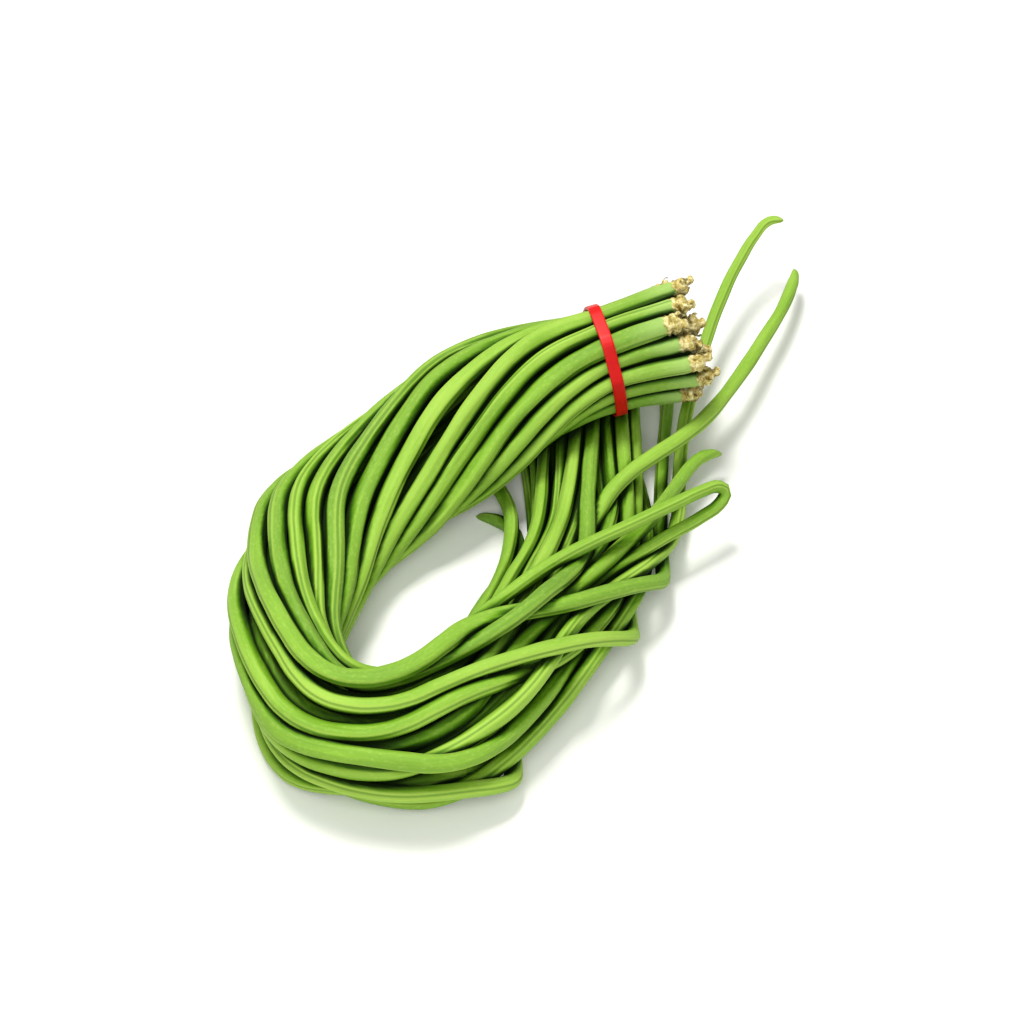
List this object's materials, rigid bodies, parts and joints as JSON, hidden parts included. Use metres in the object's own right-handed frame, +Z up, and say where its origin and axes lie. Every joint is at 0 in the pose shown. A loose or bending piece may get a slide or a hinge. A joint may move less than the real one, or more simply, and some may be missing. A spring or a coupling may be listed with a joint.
{
  "type": "yardlong bean bunch",
  "caption": "Bunch of yardlong beans laid down in a loop, with dried stalk stubs at the cut ends and one elastic band round them.",
  "frame": {"origin": "middle of the underside of the bunch's bounding box, on the surface it lies on", "axes": "+Z up from the surface; the bunch lies along Y, with its cut ends and free tips towards +Y and +X and the closed bend of the loop towards -X and -Y"},
  "size_m": [0.263, 0.3252, 0.0769],
  "materials": {
    "pod": "satin fresh green skin",
    "elastic": "matt red"
  },
  "bodies": {
    "root": {"bean_01": "pod", "bean_02": "pod", "bean_03": "pod", "bean_04": "pod", "bean_05": "pod", "bean_06": "pod", "bean_07": "pod", "bean_08": "pod", "bean_09": "pod", "bean_10": "pod", "bean_11": "pod", "bean_12": "pod", "bean_13": "pod", "bean_14": "pod", "bean_15": "pod", "bean_16": "pod", "bean_17": "pod", "bean_18": "pod", "bean_19": "pod", "bean_20": "pod", "bean_21": "pod", "bean_22": "pod", "bean_23": "pod", "bean_24": "pod", "bean_25": "pod", "bean_26": "pod", "bean_27": "pod", "bean_28": "pod", "bean_29": "pod", "band": "elastic"}
  },
  "joints": []
}
